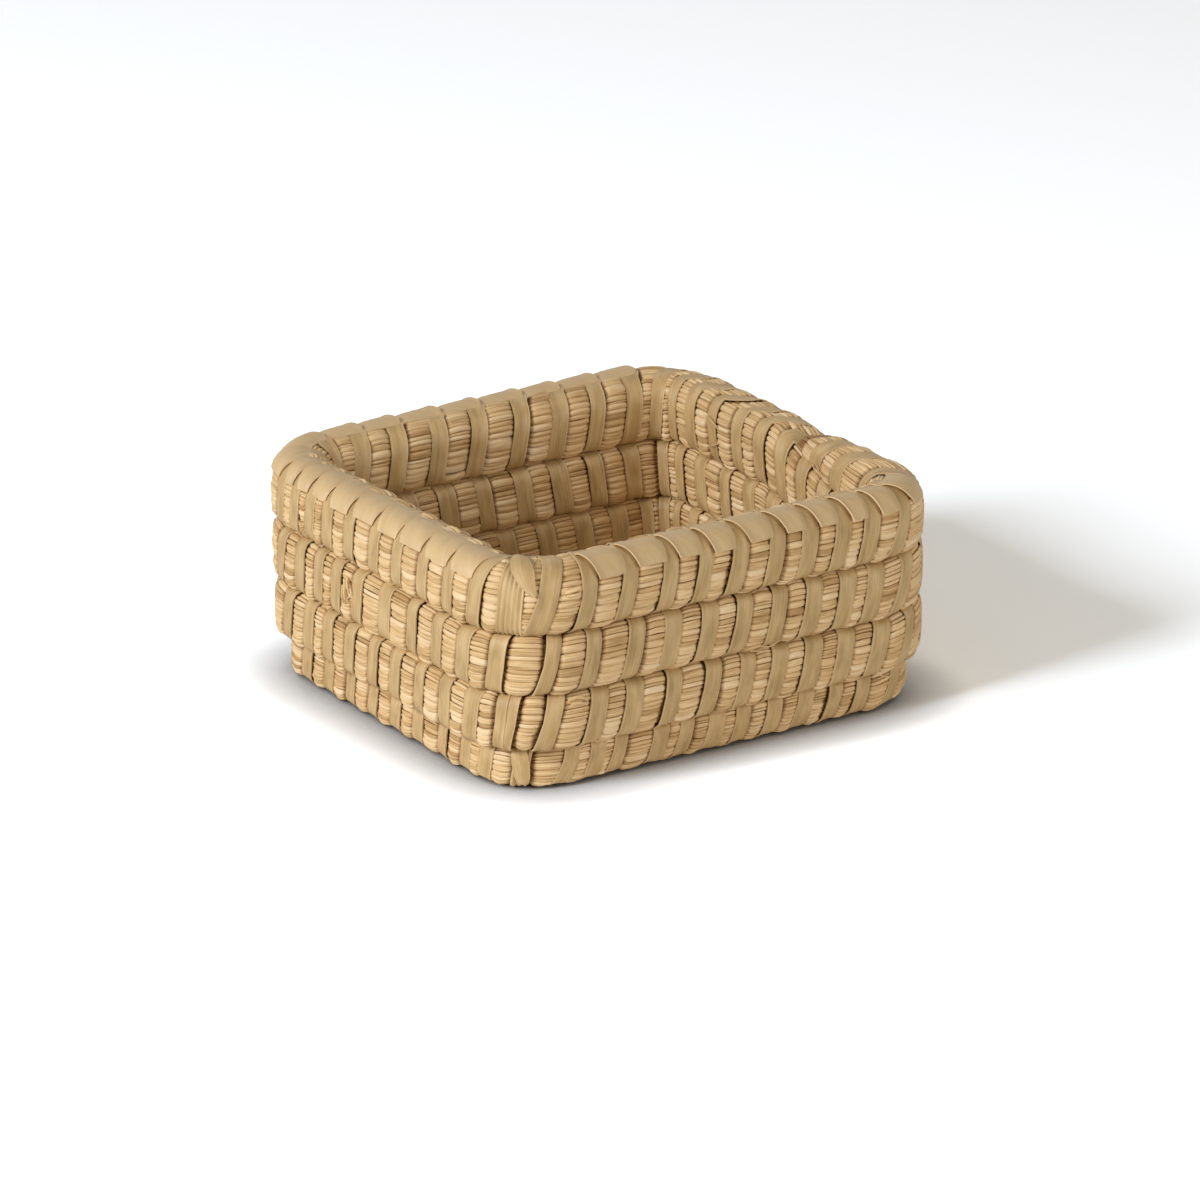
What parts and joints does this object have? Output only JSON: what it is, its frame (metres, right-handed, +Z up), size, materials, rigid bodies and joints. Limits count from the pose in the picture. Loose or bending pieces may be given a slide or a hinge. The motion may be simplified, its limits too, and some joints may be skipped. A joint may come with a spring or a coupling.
{
  "type": "berry basket",
  "caption": "Small coiled basket with rounded square plan, a stem bundle spiralling from the floor to the rim, bound round by round with flat leaf strips. Open top.",
  "frame": {"origin": "on the table, under the middle of the basket's bounding box", "axes": "+Z up out of the open top, +X along the longer side, the wide front wall faces -Y and the narrower wall seen on the left faces -X"},
  "size_m": [0.152, 0.141, 0.0663],
  "materials": {
    "dry_stems": "dry plant stems, matt, golden straw with darker gaps",
    "leaf_strip": "dried palm leaf, flat, fine long fibres, slight sheen"
  },
  "bodies": {
    "root": {"stem_coil": "dry_stems", "floor_strip_inner": "leaf_strip", "floor_strip_middle": "leaf_strip", "floor_strip_outer": "leaf_strip", "base_row_strip_back": "leaf_strip", "base_row_strip_left": "leaf_strip", "base_row_strip_front": "leaf_strip", "base_row_strip_right": "leaf_strip", "row_3_strip_back": "leaf_strip", "row_3_strip_left": "leaf_strip", "row_3_strip_front": "leaf_strip", "row_3_strip_right": "leaf_strip", "row_2_strip_back": "leaf_strip", "row_2_strip_left": "leaf_strip", "row_2_strip_front": "leaf_strip", "row_2_strip_right": "leaf_strip", "rim_strip_back": "leaf_strip", "rim_strip_left": "leaf_strip", "rim_strip_front": "leaf_strip", "rim_strip_right": "leaf_strip"}
  },
  "joints": []
}
